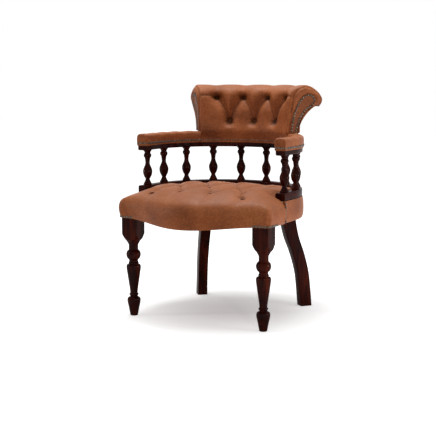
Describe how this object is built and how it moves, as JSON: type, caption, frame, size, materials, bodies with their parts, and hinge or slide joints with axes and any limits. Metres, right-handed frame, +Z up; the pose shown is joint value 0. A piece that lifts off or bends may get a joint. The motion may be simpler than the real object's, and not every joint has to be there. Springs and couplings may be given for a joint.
{
  "type": "captain's chair",
  "caption": "Captain's chair with a buttoned leather seat, padded arms, a scrolled and buttoned back, turned front legs, swept rear legs and a gallery of turned spindles under a curved arm bow.",
  "frame": {"origin": "on the floor, under the middle of the chair's bounding box", "axes": "+Z up, +X across the chair towards the right arm as seen by someone facing its front, -Y out of the front of the seat"},
  "size_m": [0.6002, 0.6934, 0.825],
  "materials": {
    "dark_wood": "dark polished mahogany",
    "frame_wood": "plain sawn beech",
    "leather": "semi-matte tan brown",
    "webbing": "woven jute",
    "dust_cloth": "matte black cloth"
  },
  "bodies": {
    "root": {"spindle_left_1": "dark_wood", "spindle_left_2": "dark_wood", "spindle_left_3": "dark_wood", "spindle_left_4": "dark_wood", "spindle_left_5": "dark_wood", "spindle_right_1": "dark_wood", "spindle_right_2": "dark_wood", "spindle_right_3": "dark_wood", "spindle_right_4": "dark_wood", "spindle_right_5": "dark_wood", "lower_bow_left": "dark_wood", "lower_bow_back": "dark_wood", "lower_bow_right": "dark_wood", "upper_bow_left": "dark_wood", "upper_bow_back": "dark_wood", "upper_bow_right": "dark_wood", "front_leg_left": "dark_wood", "front_leg_right": "dark_wood", "rear_leg_left": "dark_wood", "rear_leg_right": "dark_wood", "front_seat_rail": "frame_wood", "side_seat_rail_left": "frame_wood", "side_seat_rail_right": "frame_wood", "back_seat_rail": "frame_wood", "corner_block_front_left": "frame_wood", "corner_block_front_right": "frame_wood", "corner_block_rear_left": "frame_wood", "corner_block_rear_right": "frame_wood", "seat_webbing": "webbing", "dust_cover": "dust_cloth", "seat_pad": "leather", "seat_button_1": "leather", "seat_button_2": "leather", "seat_button_3": "leather", "seat_button_4": "leather", "seat_button_5": "leather", "seat_button_6": "leather", "seat_button_7": "leather", "seat_button_8": "leather", "seat_button_9": "leather", "seat_button_10": "leather", "seat_button_11": "leather", "seat_band": "leather", "arm_pad_left": "leather", "arm_pad_right": "leather", "back_pad": "leather", "back_button_1": "leather", "back_button_2": "leather", "back_button_3": "leather", "back_button_4": "leather", "back_button_5": "leather", "back_button_6": "leather", "back_button_7": "leather", "back_cover": "leather", "back_upright_left": "frame_wood", "back_upright_right": "frame_wood", "back_top_rail": "frame_wood", "back_facing_left": "leather", "back_facing_right": "leather"}
  },
  "joints": []
}
